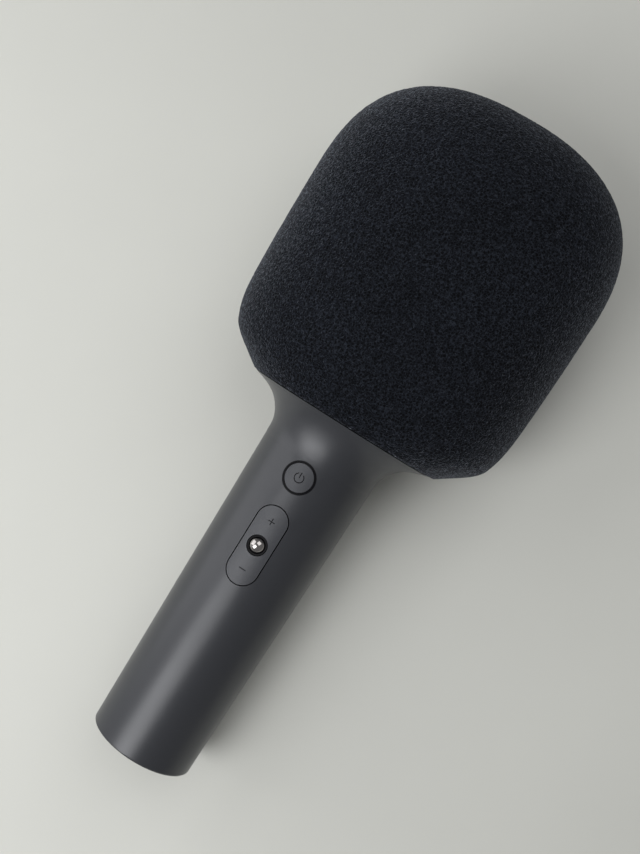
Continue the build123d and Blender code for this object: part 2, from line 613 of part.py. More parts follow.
def driver_pieces(facing_plane):
    """One loudspeaker: frame, magnet, cone and surround, about the axis of its face."""
    face = facing_plane(0)
    middle = face.origin + DRIVER_Z * face.y_dir
    view = Plane(middle, x_dir=face.x_dir, z_dir=face.x_dir.cross(face.z_dir))
    axis = Axis(middle, face.z_dir)

    def turned(*points):
        """A ring about the driver's axis, from points given as (radius, depth)."""
        with BuildSketch(view) as profile:
            Polygon(*points, align=None)
        revolve(profile.sketch, axis=axis)

    with BuildPart() as frame:
        turned(
            (15.7, LEDGE_DEPTH + LEDGE),
            (DRIVER_R, LEDGE_DEPTH + LEDGE),
            (DRIVER_R, TOWER_HALF_DEPTH),
            (15.7, TOWER_HALF_DEPTH),
        )
        turned(
            (15.7, 13.4),
            (10.5, 7.7),
            (COIL_R + 0.35, 7.7),
            (COIL_R + 0.35, 8.5),
            (10.1, 8.5),
            (14.9, 13.7),
            (15.6, 13.7),
            (15.6, LEDGE_DEPTH + LEDGE + 0.4),
            (16.2, LEDGE_DEPTH + LEDGE + 0.4),
            (16.2, 13.4),
        )
    with BuildPart() as magnet:
        turned((0, 2.2), (MAGNET_R - 0.4, 2.2), (MAGNET_R - 0.4, 3.6), (0, 3.6))
        turned((0, 3.6), (3.4, 3.6), (3.4, 7.7), (0, 7.7))
        turned((5.2, 3.6), (MAGNET_R, 3.6), (MAGNET_R, 6.4), (5.2, 6.4))
        turned(
            (COIL_R + 0.25, 6.4), (MAGNET_R - 0.4, 6.4), (MAGNET_R - 0.4, 7.7), (COIL_R + 0.25, 7.7)
        )
    with BuildPart() as cone:
        turned(
            (CONE_R, CONE_RIM),
            (CONE_R, CONE_RIM - 0.5),
            (COIL_R, CONE_NECK - 0.5),
            (COIL_R, 5.6),
            (COIL_R - 0.3, 5.6),
            (COIL_R - 0.3, CONE_NECK),
            (0, CONE_NECK + 1.1),
            (0, CONE_NECK + 1.6),
            (COIL_R + 0.2, CONE_NECK + 0.3),
        )
    with BuildPart() as surround:
        with BuildSketch(view):
            with BuildLine():
                roll = (15.5 - CONE_R) / 2
                ThreePointArc(
                    (CONE_R, CONE_RIM), (CONE_R + roll, CONE_RIM + roll), (15.5, CONE_RIM)
                )
                Line((15.5, CONE_RIM), (15.5, CONE_RIM - 0.5))
                ThreePointArc(
                    (15.5, CONE_RIM - 0.5),
                    (CONE_R + roll, CONE_RIM + roll - 0.5),
                    (CONE_R, CONE_RIM - 0.5),
                )
                Line((CONE_R, CONE_RIM - 0.5), (CONE_R, CONE_RIM))
            make_face()
        revolve(axis=axis)
    return {"frame": frame, "magnet": magnet, "cone": cone, "surround": surround}


drivers = {}
for side, plane_of in {"front": facing, "rear": facing_back}.items():
    for name, piece in driver_pieces(plane_of).items():
        drivers[f"{side}_driver_{name}"] = piece

# ---------------------------------------------------------------- microphone capsule
CAPSULE_Z = POST_TOP + BOOT_FLOOR
with BuildPart() as capsule_post:
    round_plate(TOWER_TOP_Z, 2.0, 14.0)
    round_plate(TOWER_TOP_Z, POST_TOP - TOWER_TOP_Z, POST_R)
    round_plate(POST_TOP - 3, 3.0, BOOT_R)
    round_plate(TOWER_TOP_Z, 20, LEAD_HOLE_R, Mode.SUBTRACT)

with BuildPart() as capsule_boot:
    round_plate(POST_TOP, BOOT_HEIGHT, BOOT_R)
    round_plate(CAPSULE_Z, BOOT_HEIGHT, CAPSULE_R, Mode.SUBTRACT)
    round_plate(POST_TOP, BOOT_FLOOR, LEAD_HOLE_R, Mode.SUBTRACT)

with BuildPart() as mic_capsule:
    round_plate(CAPSULE_Z, CAPSULE_TOP - CAPSULE_Z, CAPSULE_R)
    chamfer(mic_capsule.edges().filter_by(GeomType.CIRCLE).group_by(MIC_AXIS)[-1], 0.6)
    with BuildSketch(level(CAPSULE_TOP - 0.5)):
        for ring_r, count in ((2.0, 6), (4.2, 12)):
            with PolarLocations(ring_r, count):
                Circle(0.5)
        Circle(0.6)
    extrude(amount=1, mode=Mode.SUBTRACT)

# ---------------------------------------------------------------- leads


def bundle(points, bends):
    """A round bundle of wires along runs joined by arcs; points are (x, y, z) in the mic frame."""
    route = [MIC.from_local_coords(Vector(*p)) for p in points]
    with BuildPart() as lead:
        with BuildLine() as path:
            FilletPolyline(*route, radius=bends)
        with BuildSketch(Plane(path.line @ 0, z_dir=path.line % 0)):
            Circle(LEAD_R)
        sweep()
    return lead


def down_to_board(x):
    """The leads' way from the tower's floor to their socket on the main board."""
    return [(x, 0, 134.0), (x, -1.0, 126.0), (x, -7.3, 116.5), (x, -7.3, 111.6)]


capsule_lead = bundle(
    [(0, 0, CAPSULE_Z), (0, 0, 200.0), (14.0, 0, 188.0), (14.0, 0, 150.0)] + down_to_board(2),
    [8.0, 8.0, 14.0, 14.0, 6.0, 4.0],
)
speaker_leads = bundle(
    [(-6.5, 0, 172.0), (-14.0, 0, 164.0), (-14.0, 0, 150.0)] + down_to_board(-2),
    [6.0, 14.0, 14.0, 6.0, 4.0],
)

# ---------------------------------------------------------------- cover


def head_form(inset, bottom):
    """The solid head, less a skin, lofted through ovals from this height up."""
    top = LENGTH - inset
    rise = WIDE_Z - bottom
    below = [bottom + rise * share for share in (0, 0.05, 0.14, 0.3, 0.62)]
    above = [
        WIDE_Z + (top - WIDE_Z) * sin(radians(turn)) ** (2 / WIDTH_TOP)
        for turn in (0, 25, 45, 62, 76, 85.5)
    ]
    sections = []
    for z in below + above:
        with BuildSketch(level(z)) as section:
            Oval(head_half_width(z, inset), head_half_depth(z, inset), HEAD_SQUARENESS)
        sections.append(section.sketch)
    loft(sections)


BASKET_FOOT = COLLAR_Z + COLLAR_HEIGHT
with BuildPart() as basket_form:
    head_form(FOAM, BASKET_FOOT)
with BuildPart() as hollow_form:
    head_form(FOAM + BASKET, BASKET_FOOT)

with BuildPart() as windscreen_foam:
    head_form(0, COLLAR_Z)
    add(basket_form.part, mode=Mode.SUBTRACT)
    oval_plate(COLLAR_Z, COLLAR_HEIGHT, *COLLAR_OUTER, COLLAR_SQUARENESS, Mode.SUBTRACT)

with BuildPart() as basket_collar:
    oval_plate(COLLAR_Z, COLLAR_HEIGHT, *COLLAR_OUTER, COLLAR_SQUARENESS)
    oval_plate(COLLAR_Z, COLLAR_HEIGHT, *COLLAR_INNER, COLLAR_SQUARENESS, Mode.SUBTRACT)


def basket_half(plane_of, front):
    """Half of the basket: a skin under the foam, open in rows of upright slots."""
    keep = -1 if front else 1
    with BuildPart() as half:
        add(basket_form.part)
        add(hollow_form.part, mode=Mode.SUBTRACT)
        with BuildSketch(level(BASKET_FOOT - 5)):
            with Locations((0, keep * 30)):
                Rectangle(160, 60)
        extrude(amount=150, mode=Mode.INTERSECT)
        with BuildSketch(plane_of(4)):
            with Locations((0, 187)):
                with GridLocations(13.0, 32.0, 6, 3):
                    SlotOverall(25.0, 6.0, rotation=90)
        extrude(amount=40, mode=Mode.SUBTRACT)
    return half


basket_front = basket_half(facing, True)
basket_rear = basket_half(facing_back, False)

# ---------------------------------------------------------------- write every piece
pieces = {
    "handle_shell": handle_shell,
    "tail_cap": tail_cap,
    "usb_socket": usb_socket,
    "usb_board": usb_board,
    "charge_light": charge_light,
    "chassis": chassis,
    "chassis_screws": chassis_screws,
    "battery_cell": battery_cell,
    "battery_tabs": battery_tabs,
    "main_board": main_board,
    "bluetooth_module": bluetooth_module,
    "audio_processor": audio_processor,
    "power_amplifier": power_amplifier,
    "filter_capacitors": filter_capacitors,
    "lead_socket": lead_socket,
    "board_standoffs": board_standoffs,
    "board_screws": board_screws,
    "button_board": button_board,
    **switch_pieces,
    "key_carrier": key_carrier,
    "rocker_pins": rocker_pins,
    "power_light_ring": power_light_ring,
    "power_button": power_button,
    "volume_rocker": volume_rocker,
    "effect_bezel": effect_bezel,
    "effect_button": effect_button,
    "head_base": head_base,
    "head_base_screws": head_base_screws,
    "cover_grip_ring": cover_grip_ring,
    "speaker_box_front": speaker_box_front,
    "speaker_box_rear": speaker_box_rear,
    "speaker_box_screws": speaker_box_screws,
    **drivers,
    "capsule_post": capsule_post,
    "capsule_boot": capsule_boot,
    "mic_capsule": mic_capsule,
    "capsule_lead": capsule_lead,
    "speaker_leads": speaker_leads,
    "basket_collar": basket_collar,
    "basket_front": basket_front,
    "basket_rear": basket_rear,
    "windscreen_foam": windscreen_foam,
}
os.makedirs("parts", exist_ok=True)
for name, piece in pieces.items():
    piece.part.label = name
    export_step(piece.part, f"parts/{name}.step")
print(f"{len(pieces)} pieces, lying at {degrees(LIE):.2f} degrees, tail at y {TAIL_Y:.2f}")
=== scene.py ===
# Looks for a karaoke microphone that lies on its back on a pale floor. Sizes written as numbers
# are in millimetres, in the microphone's own frame: x to the right of its buttons, depth from its
# axis towards the front, and z up its axis from the tail. at() turns them into the row frame.

import json
from math import cos, pi, radians, sin

import bpy
import numpy as np
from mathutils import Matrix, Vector


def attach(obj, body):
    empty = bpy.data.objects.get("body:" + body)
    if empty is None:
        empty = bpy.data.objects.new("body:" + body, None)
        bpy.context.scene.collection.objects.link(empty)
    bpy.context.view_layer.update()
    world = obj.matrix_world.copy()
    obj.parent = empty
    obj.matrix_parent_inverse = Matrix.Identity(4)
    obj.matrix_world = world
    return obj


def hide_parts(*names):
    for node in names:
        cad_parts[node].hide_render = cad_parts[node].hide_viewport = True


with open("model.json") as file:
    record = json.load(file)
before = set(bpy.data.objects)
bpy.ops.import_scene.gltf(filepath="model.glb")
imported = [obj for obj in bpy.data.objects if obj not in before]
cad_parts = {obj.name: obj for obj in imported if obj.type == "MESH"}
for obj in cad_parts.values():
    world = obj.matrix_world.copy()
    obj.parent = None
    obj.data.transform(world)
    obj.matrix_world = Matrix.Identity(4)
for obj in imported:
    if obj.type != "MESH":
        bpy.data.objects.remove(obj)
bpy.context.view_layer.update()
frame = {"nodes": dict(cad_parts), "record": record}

MM = 0.001
MOUNTS = {mount["name"]: mount for mount in frame["record"]["mounts"]}
PORT_INSET = 0.5
RIGHT = Vector((1, 0, 0))
UP = -Vector(MOUNTS["charging_port"]["axis"]).normalized()
FRONT = RIGHT.cross(UP)
TAIL = Vector(MOUNTS["charging_port"]["pos_m"]) - PORT_INSET * MM * UP


def at(x, depth, z):
    """The point in the row frame, in metres."""
    return TAIL + MM * (x * RIGHT + depth * FRONT + z * UP)


# ---------------------------------------------------------------- camera and lamps
LENS, SENSOR = 44.0, 36.0
NEAREST = 0.01  # the camera sees nothing nearer than this, in metres
CAMERA_DISTANCE = 355.8
AIM = (-5.88, 0.0, 124.8)  # the point that the camera looks at
CAMERA_RIGHTWARDS = radians(8.0)  # how far it stands round to the right
CAMERA_HEADWARDS = radians(2.36)  # and towards the head
ROLL = radians(32.08)  # the microphone's axis leans this far clockwise in the picture


def make_camera():
    """The camera looks down at the keys; back points from them towards it."""
    back = cos(CAMERA_RIGHTWARDS) * FRONT + sin(CAMERA_RIGHTWARDS) * RIGHT
    back = (cos(CAMERA_HEADWARDS) * back + sin(CAMERA_HEADWARDS) * UP).normalized()
    along = (UP - UP.dot(back) * back).normalized()
    across = along.cross(back)
    picture_up = cos(ROLL) * along - sin(ROLL) * across
    picture_right = picture_up.cross(back)
    camera = bpy.data.objects.new("camera", bpy.data.cameras.new("camera"))
    bpy.context.scene.collection.objects.link(camera)
    camera.data.lens, camera.data.sensor_width = LENS, SENSOR
    camera.data.clip_start = NEAREST
    place = at(*AIM) + CAMERA_DISTANCE * MM * back
    matrix = camera.matrix_world.to_4x4()
    for row in range(3):
        matrix[row][0], matrix[row][1] = picture_right[row], picture_up[row]
        matrix[row][2], matrix[row][3] = back[row], place[row]
    camera.matrix_world = matrix
    bpy.context.scene.camera = camera


def make_light(name, place, target, size, power):
    """A soft square light at place, in metres, turned towards target."""
    data = bpy.data.lights.new(name, "AREA")
    data.shape = "SQUARE"
    data.size, data.energy = size, power
    light = bpy.data.objects.new(name, data)
    bpy.context.scene.collection.objects.link(light)
    light.location = place
    light.rotation_euler = (target - place).to_track_quat("-Z", "Y").to_euler()


# ---------------------------------------------------------------- node helpers


class Look:
    """A procedural material. Its textures are in row-frame metres, so grains have real sizes."""

    def __init__(self, name, **values):
        self.material = bpy.data.materials.new(name)
        self.material.use_nodes = True
        self.tree = self.material.node_tree
        self.bsdf = self.tree.nodes["Principled BSDF"]
        self.place = self.add("ShaderNodeTexCoord").outputs["Object"]
        self.last_normal = None
        for socket, value in values.items():
            self.set(socket.replace("_", " "), value)

    def add(self, kind, **properties):
        node = self.tree.nodes.new(kind)
        for name, value in properties.items():
            setattr(node, name, value)
        return node

    def link(self, source, target):
        self.tree.links.new(source, target)

    def set(self, socket, value):
        target = self.bsdf.inputs[socket]
        if isinstance(value, bpy.types.NodeSocket):
            self.link(value, target)
        elif isinstance(value, tuple):
            target.default_value = value if target.type == "VECTOR" else (*value, 1.0)
        else:
            target.default_value = value

    def noise(self, size, detail=4.0, roughness=0.55, stretch=None):
        """Noise with blobs of this size in mm; stretch scales it along the three axes."""
        node = self.add("ShaderNodeTexNoise")
        node.inputs["Scale"].default_value = 1.0 / (size * MM)
        node.inputs["Detail"].default_value = detail
        node.inputs["Roughness"].default_value = roughness
        self.link(self.stretched(stretch) if stretch else self.place, node.inputs["Vector"])
        return node.outputs["Fac"]

    def stretched(self, stretch):
        node = self.add("ShaderNodeMapping")
        node.inputs["Scale"].default_value = stretch
        self.link(self.place, node.inputs["Vector"])
        return node.outputs["Vector"]

    def cells(self, size, feature="F1", randomness=1.0):
        node = self.add("ShaderNodeTexVoronoi", feature=feature)
        node.inputs["Scale"].default_value = 1.0 / (size * MM)
        node.inputs["Randomness"].default_value = randomness
        self.link(self.place, node.inputs["Vector"])
        return node.outputs["Distance"]

    def ramp(self, value, *stops):
        """A colour ramp through stops given as (position, grey or colour)."""
        node = self.add("ShaderNodeValToRGB")
        elements = node.color_ramp.elements
        while len(elements) < len(stops):
            elements.new(0.5)
        for element, (position, colour) in zip(elements, stops):
            element.position = position
            element.color = (*colour, 1) if isinstance(colour, tuple) else (*[colour] * 3, 1)
        self.link(value, node.inputs["Fac"])
        return node.outputs["Color"]

    def math(self, operation, first, second):
        node = self.add("ShaderNodeMath", operation=operation)
        for socket, value in zip(node.inputs, (first, second)):
            if isinstance(value, bpy.types.NodeSocket):
                self.link(value, socket)
            else:
                socket.default_value = value
        return node.outputs[0]

    def spread(self, value, low, high):
        """A 0 to 1 value brought to low to high."""
        return self.math("ADD", self.math("MULTIPLY", value, high - low), low)

    def mix(self, share, first, second, blend="MIX"):
        node = self.add("ShaderNodeMix", data_type="RGBA", blend_type=blend)
        for index, value in ((0, share), (6, first), (7, second)):
            if isinstance(value, bpy.types.NodeSocket):
                self.link(value, node.inputs[index])
            elif isinstance(value, tuple):
                node.inputs[index].default_value = (*value, 1)
            else:
                node.inputs[index].default_value = value
        return node.outputs[2]

    def bump(self, height, rise, strength=1.0):
        """Adds a bump that rises this many mm over the height's 0 to 1."""
        node = self.add("ShaderNodeBump")
        node.inputs["Strength"].default_value = strength
        node.inputs["Distance"].default_value = rise * MM
        self.link(height, node.inputs["Height"])
        if self.last_normal:
            self.link(self.last_normal, node.inputs["Normal"])
        self.last_normal = node.outputs["Normal"]
        self.link(self.last_normal, self.bsdf.inputs["Normal"])


def shade(colour, factor):
    return tuple(channel * factor for channel in colour)


# ---------------------------------------------------------------- materials


def satin_paint(name, colour, roughness=0.36):
    """Satin metallic paint: fine flakes, slow colour drift, a faint orange peel."""
    look = Look(name, Metallic=0.2, Coat_Weight=0.1, Coat_Roughness=0.3)
    flakes = look.ramp(look.cells(0.22), (0.0, shade(colour, 1.25)), (0.55, shade(colour, 0.9)))
    drift = look.ramp(look.noise(30.0), (0.3, shade(colour, 0.94)), (0.7, shade(colour, 1.06)))
    look.set("Base Color", look.mix(0.5, flakes, drift))
    look.set("Roughness", look.spread(look.noise(14.0), roughness - 0.05, roughness + 0.05))
    look.bump(look.noise(0.35, detail=2.0), 0.010)
    return look.material


def moulded(name, colour, roughness=0.55, grain=0.5):
    """Spark-eroded moulded plastic: fine pits and a slow sheen variation."""
    look = Look(name)
    tint = look.ramp(look.noise(6.0), (0.3, shade(colour, 0.9)), (0.7, shade(colour, 1.12)))
    look.set("Base Color", tint)
    look.set("Roughness", look.spread(look.noise(3.0), roughness - 0.06, roughness + 0.08))
    look.bump(look.noise(grain, detail=3.0), 0.03)
    return look.material


def smoked_plastic(name, colour):
    """Dark see-through plastic that hides what is behind it."""
    look = Look(name, Specular_IOR_Level=0.08)
    look.set("Base Color", look.ramp(look.noise(4.0), (0.3, colour), (0.7, shade(colour, 1.3))))
    look.set("Roughness", look.spread(look.noise(2.0), 0.3, 0.4))
    return look.material


def metal(name, colour, roughness=0.3, brushed=True):
    """Plain or brushed metal, with the brush marks along Y."""
    look = Look(name, Metallic=1.0)
    stretch = (1.0, 0.06, 1.0) if brushed else (1.0, 1.0, 1.0)
    marks = look.noise(0.4, detail=6.0, stretch=stretch)
    look.set("Base Color", look.ramp(marks, (0.3, shade(colour, 0.85)), (0.7, shade(colour, 1.1))))
    look.set("Roughness", look.spread(marks, roughness - 0.06, roughness + 0.1))
    look.bump(marks, 0.006)
    return look.material


def chrome(name, colour):
    look = Look(name, Metallic=1.0)
    haze = look.noise(1.2, detail=5.0)
    look.set("Base Color", look.ramp(haze, (0.3, shade(colour, 0.95)), (0.7, colour)))
    look.set("Roughness", look.spread(haze, 0.03, 0.1))
    return look.material


def circuit_board(name, colour):
    """Solder mask over copper traces, with plated vias."""
    look = Look(name, Coat_Weight=0.5, Coat_Roughness=0.2, Roughness=0.4)
    lines = look.add("ShaderNodeTexBrick", offset=0.37, offset_frequency=3)
    lines.inputs["Scale"].default_value = 1.0 / (6.0 * MM)
    lines.inputs["Mortar Size"].default_value = 0.035
    lines.inputs["Color1"].default_value = (*colour, 1)
    lines.inputs["Color2"].default_value = (*shade(colour, 0.8), 1)
    lines.inputs["Mortar"].default_value = (*shade(colour, 2.2), 1)
    look.link(look.place, lines.inputs["Vector"])
    vias = look.ramp(look.cells(2.4), (0.10, 1.0), (0.14, 0.0))
    look.set("Base Color", look.mix(vias, lines.outputs["Color"], (0.55, 0.42, 0.2)))
    look.set("Metallic", vias)
    look.bump(lines.outputs["Fac"], 0.03)
    return look.material


def sleeve(name, colour, roughness=0.35):
    """Shrink sleeve or wire insulation: glossy skin with faint wrinkles."""
    look = Look(name, Coat_Weight=0.3, Coat_Roughness=0.2)
    wrinkle = look.noise(5.0, detail=3.0, stretch=(1.0, 0.3, 1.0))
    look.set("Base Color", look.ramp(wrinkle, (0.3, shade(colour, 0.8)), (0.7, shade(colour, 1.2))))
    look.set("Roughness", look.spread(wrinkle, roughness - 0.05, roughness + 0.1))
    look.bump(wrinkle, 0.12)
    return look.material


def soft_rubber(name, colour):
    look = Look(name, Sheen_Weight=0.15, Sheen_Roughness=0.6)
    dust = look.noise(1.5, detail=6.0)
    look.set("Base Color", look.ramp(dust, (0.35, shade(colour, 0.85)), (0.75, shade(colour, 1.6))))
    look.set("Roughness", look.spread(dust, 0.65, 0.85))
    look.bump(look.noise(0.3), 0.02)
    return look.material


def pressed_paper(name, colour):
    """Cone paper: matted fibres and concentric-looking blotches."""
    look = Look(name, Roughness=0.85, Sheen_Weight=0.2)
    fibres = look.noise(0.5, detail=8.0, roughness=0.7, stretch=(1.0, 0.25, 1.0))
    look.set("Base Color", look.ramp(fibres, (0.35, shade(colour, 0.6)), (0.7, shade(colour, 2.0))))
    look.bump(fibres, 0.08)
    return look.material


def milky(name, colour):
    look = Look(name, Subsurface_Weight=0.3, Subsurface_Radius=(0.4, 0.4, 0.4))
    look.bsdf.inputs["Subsurface Scale"].default_value = MM
    look.set("Base Color", look.ramp(look.noise(1.0), (0.3, shade(colour, 0.92)), (0.7, colour)))
    look.set("Roughness", look.spread(look.noise(0.6), 0.25, 0.35))
    return look.material


def open_cell_foam(name, colour):
    """Fine open-cell foam: painted shade in the pores, and painted highlights on the struts and on
    random flecks.
    """
    look = Look(name, Sheen_Roughness=0.4, Specular_IOR_Level=0.06)
    look.set("Sheen Tint", (0.82, 0.88, 1.0))
    pores = look.cells(0.9, feature="DISTANCE_TO_EDGE")
    struts = look.ramp(pores, (0.0, 1.0), (0.16, 0.0))
    # random flecks carry painted highlights and also raise the sheen
    fleck_highlights = look.ramp(look.noise(0.9, detail=3.0, roughness=0.7), (0.46, 0.0), (0.66, 1.0))
    lit = look.mix(0.6, struts, fleck_highlights)
    # painted light and shade: pores at 0.3 of the colour as painted shade, struts and flecks at 4
    # times as painted highlights
    body = look.mix(lit, shade(colour, 0.3), shade(colour, 4.0))
    look.set("Sheen Weight", look.spread(fleck_highlights, 0.12, 0.44))
    drift = look.ramp(look.noise(28.0, detail=2.0), (0.3, 0.82), (0.7, 1.15))
    look.set("Base Color", look.mix(1.0, body, drift, blend="MULTIPLY"))
    look.set("Roughness", 0.9)
    look.bump(look.noise(0.8, detail=4.0, roughness=0.7), 0.32)
    look.bump(struts, 0.10)
    return look.material


SHELL_GREY = (0.034, 0.036, 0.042)
KEY_GREY = shade(SHELL_GREY, 1.15)
FOAM_BLACK = (0.0045, 0.0054, 0.0076)
LOOKS = {
    "satin_shell": satin_paint("satin_shell", SHELL_GREY),
    "key_grey": satin_paint("key_grey", KEY_GREY, roughness=0.42),
    "tail_plastic": moulded("tail_plastic", (0.045, 0.048, 0.052)),
    "frame_plastic": moulded("frame_plastic", (0.07, 0.072, 0.075)),
    "inner_plastic": moulded("inner_plastic", (0.022, 0.023, 0.025), roughness=0.6),
    "chip_black": moulded("chip_black", (0.02, 0.02, 0.022), roughness=0.7, grain=0.3),
    "basket": moulded("basket", (0.035, 0.036, 0.039)),
    "switch_tan": moulded("switch_tan", (0.3, 0.24, 0.15)),
    "smoked": smoked_plastic("smoked", (0.004, 0.004, 0.005)),
    "steel": metal("steel", (0.56, 0.57, 0.58)),
    "screw_steel": metal("screw_steel", (0.35, 0.35, 0.36), roughness=0.35, brushed=False),
    "nickel": metal("nickel", (0.62, 0.60, 0.55), roughness=0.25, brushed=False),
    "magnet": metal("magnet", (0.10, 0.10, 0.11), roughness=0.45, brushed=False),
    "chrome": chrome("chrome", (0.45, 0.43, 0.42)),
    "board_green": circuit_board("board_green", (0.02, 0.09, 0.05)),
    "cell_wrap": sleeve("cell_wrap", (0.03, 0.16, 0.34)),
    "wire": sleeve("wire", (0.28, 0.03, 0.03), roughness=0.45),
    "lens": milky("lens", (0.75, 0.76, 0.74)),
    "soft_rubber": soft_rubber("soft_rubber", (0.02, 0.02, 0.021)),
    "cone_paper": pressed_paper("cone_paper", (0.02, 0.02, 0.022)),
    "foam": open_cell_foam("foam", FOAM_BLACK),
}


def paint_cad_nodes():
    """Gives each CAD node its slot's material."""
    for part in frame["record"]["subparts"]:
        mesh = frame["nodes"][part["node"]].data
        mesh.materials.clear()
        mesh.materials.append(LOOKS[part["material_slot"]])


# ---------------------------------------------------------------- windscreen foam
HEAD_TOP, WIDE_Z = 246.0, 199.0  # WIDE_Z is the height of the head's widest place
FOAM_FOOT, FOAM_THICKNESS = 130.45, 5.0
COLLAR_HEIGHT = 3.9
COLLAR_OUTER = (32.05, 25.25)  # half-width and half-depth
COLLAR_SQUARENESS, HEAD_SQUARENESS = 3.2, 2.5
WIDTH_LAW = (53.5, 126.8, 4.8, 2.66)  # reach, foot, power below the widest place, power above
DEPTH_LAW = (33.0, 119.5, 4.4, 3.4)
# the straight lower corners and the tapering sides: half-width at the foot, slope, rounding
STRAIGHT_CUTS = ((35.7, 1.45, 3.0), (51.4, 0.04, 1.0))
LOPSIDED, LOPSIDED_TOP = 0.5, 150.0  # how far the lower corners sit to the right, fading upwards
GRAIN, GRAIN_SEED = 0.16, 7  # the height of the foam's surface grain
RING_POINTS = 380
SKIN_SPACING, HOLLOW_SPACING = 0.78, 4.0  # between the rings of the foam's outside and its hollow


def outline(z, law, inset=0.0):
    """Half-size of the head at height z, an inset below its surface."""
    reach, foot, low, top = law
    if z >= WIDE_Z:
        share, power = (z - WIDE_Z) / (HEAD_TOP - inset - WIDE_Z), top
    else:
        share, power = (WIDE_Z - z) / (WIDE_Z - foot - inset / 2), low
    return (reach - inset) * max(0.0, 1 - share**power) ** (1 / power)


def half_width(z, inset=0.0):
    """The front outline, cut by straight lines, with each cut rounded in."""
    width = outline(z, WIDTH_LAW, inset)
    for start, slope, rounding in STRAIGHT_CUTS:
        line = start + slope * (z - FOAM_FOOT) - inset
        overlap = max(0.0, rounding - abs(width - line))
        width = min(width, line) - overlap**2 / (4 * rounding)
    return width


def oval(across, deep, squareness, count):
    """Points round an oval between an ellipse and a rectangle, evenly spaced along it."""
    turn = np.linspace(0, 2 * pi, 2000, endpoint=False)
    grow = (abs(np.cos(turn)) ** squareness + abs(np.sin(turn)) ** squareness) ** (-1 / squareness)
    ring = np.stack([across * np.cos(turn) * grow, deep * np.sin(turn) * grow], 1)
    steps = np.linalg.norm(np.roll(ring, -1, 0) - ring, axis=1)
    length = np.concatenate([[0], np.cumsum(steps)])
    wanted = np.linspace(0, length[-1], count, endpoint=False)
    closed = np.vstack([ring, ring[:1]])
    return np.stack([np.interp(wanted, length, closed[:, axis]) for axis in (0, 1)], 1)


def head_rings(heights, inset, count):
    """Rings of (x, depth, z) up the head."""
    rings = []
    for z in heights:
        ring = oval(half_width(z, inset), outline(z, DEPTH_LAW, inset), HEAD_SQUARENESS, count)
        lowness = (LOPSIDED_TOP - z) / (LOPSIDED_TOP - FOAM_FOOT)
        ring[:, 0] += LOPSIDED * max(0.0, min(1.0, lowness))
        rings.append(np.column_stack([ring, np.full(count, z)]))
    return rings


def ring_heights(bottom, top, spacing, law):
    """Heights that space rings evenly along the head's side outline."""
    fine = WIDE_Z + (top - WIDE_Z) * np.sin(np.linspace(0, pi / 2, 4000)) ** (2 / law[3])
    fine = np.concatenate([np.linspace(bottom, WIDE_Z, 4000)[:-1], fine])
    inset = HEAD_TOP - top
    reach = np.array([outline(z, law, inset) for z in fine])
    length = np.concatenate([[0], np.cumsum(np.hypot(np.diff(fine), np.diff(reach)))])
    count = int(length[-1] / spacing)
    return np.interp(np.linspace(0, length[-1], count + 1)[:-1], length, fine)


def to_row_frame(points):
    axes = np.array([RIGHT, FRONT, UP])
    return np.array(TAIL) + MM * (np.asarray(points) @ axes)


def make_mesh(name, points, faces, slot, body, smooth=True):
    """A piece from points in mm in the microphone's frame."""
    mesh = bpy.data.meshes.new(name)
    mesh.from_pydata(to_row_frame(points).tolist(), [], faces)
    mesh.validate()
    if smooth:
        mesh.shade_smooth()
    else:
        mesh.shade_flat()
    piece = bpy.data.objects.new(name, mesh)
    bpy.context.scene.collection.objects.link(piece)
    mesh.materials.append(LOOKS[slot])
    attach(piece, body)
    return piece


def stitch(count, lower, upper):
    """Quads between two rings of points that start at these indices."""
    faces = []
    for i in range(count):
        j = (i + 1) % count
        faces.append((lower + i, lower + j, upper + j, upper + i))
    return faces


def make_foam():
    """The foam: an outer skin with real grain, a collar seat, and the hollow round the basket."""
    random = np.random.default_rng(GRAIN_SEED)
    count = RING_POINTS
    hollow_foot, hollow_top = FOAM_FOOT + COLLAR_HEIGHT, HEAD_TOP - FOAM_THICKNESS
    outer = head_rings(ring_heights(FOAM_FOOT, HEAD_TOP, SKIN_SPACING, DEPTH_LAW), 0.0, count)
    inner_heights = ring_heights(hollow_foot, hollow_top, HOLLOW_SPACING, DEPTH_LAW)
    inner = head_rings(inner_heights, FOAM_THICKNESS, count)
    seat = oval(*COLLAR_OUTER, COLLAR_SQUARENESS, count)
    seat_low = np.column_stack([seat, np.full(count, FOAM_FOOT)])
    seat_high = np.column_stack([seat, np.full(count, hollow_foot)])
    rings = inner[::-1] + [seat_high, seat_low] + outer
    first_outer = len(inner) + 2
    faces = []
    for index in range(len(rings) - 1):
        faces += stitch(count, index * count, (index + 1) * count)
    poles = [[0, 0, hollow_top], [0, 0, HEAD_TOP]]
    points = np.vstack([*rings, poles])
    inner_pole, outer_pole = len(points) - 2, len(points) - 1
    last = (len(rings) - 1) * count
    for i in range(count):
        j = (i + 1) % count
        faces.append((i, inner_pole, j))
        faces.append((last + i, last + j, outer_pole))
    centre = np.array([0, 0, (FOAM_FOOT + HEAD_TOP) / 2])
    out = points - centre
    out /= np.linalg.norm(out, axis=1)[:, None]
    grain = random.uniform(-1, 0, len(points)) * GRAIN
    grain[: first_outer * count] = 0
    points = points + out * grain[:, None]
    foam = make_mesh("foam_windscreen", points, faces, "foam", "head_cover")
    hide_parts("windscreen_foam")
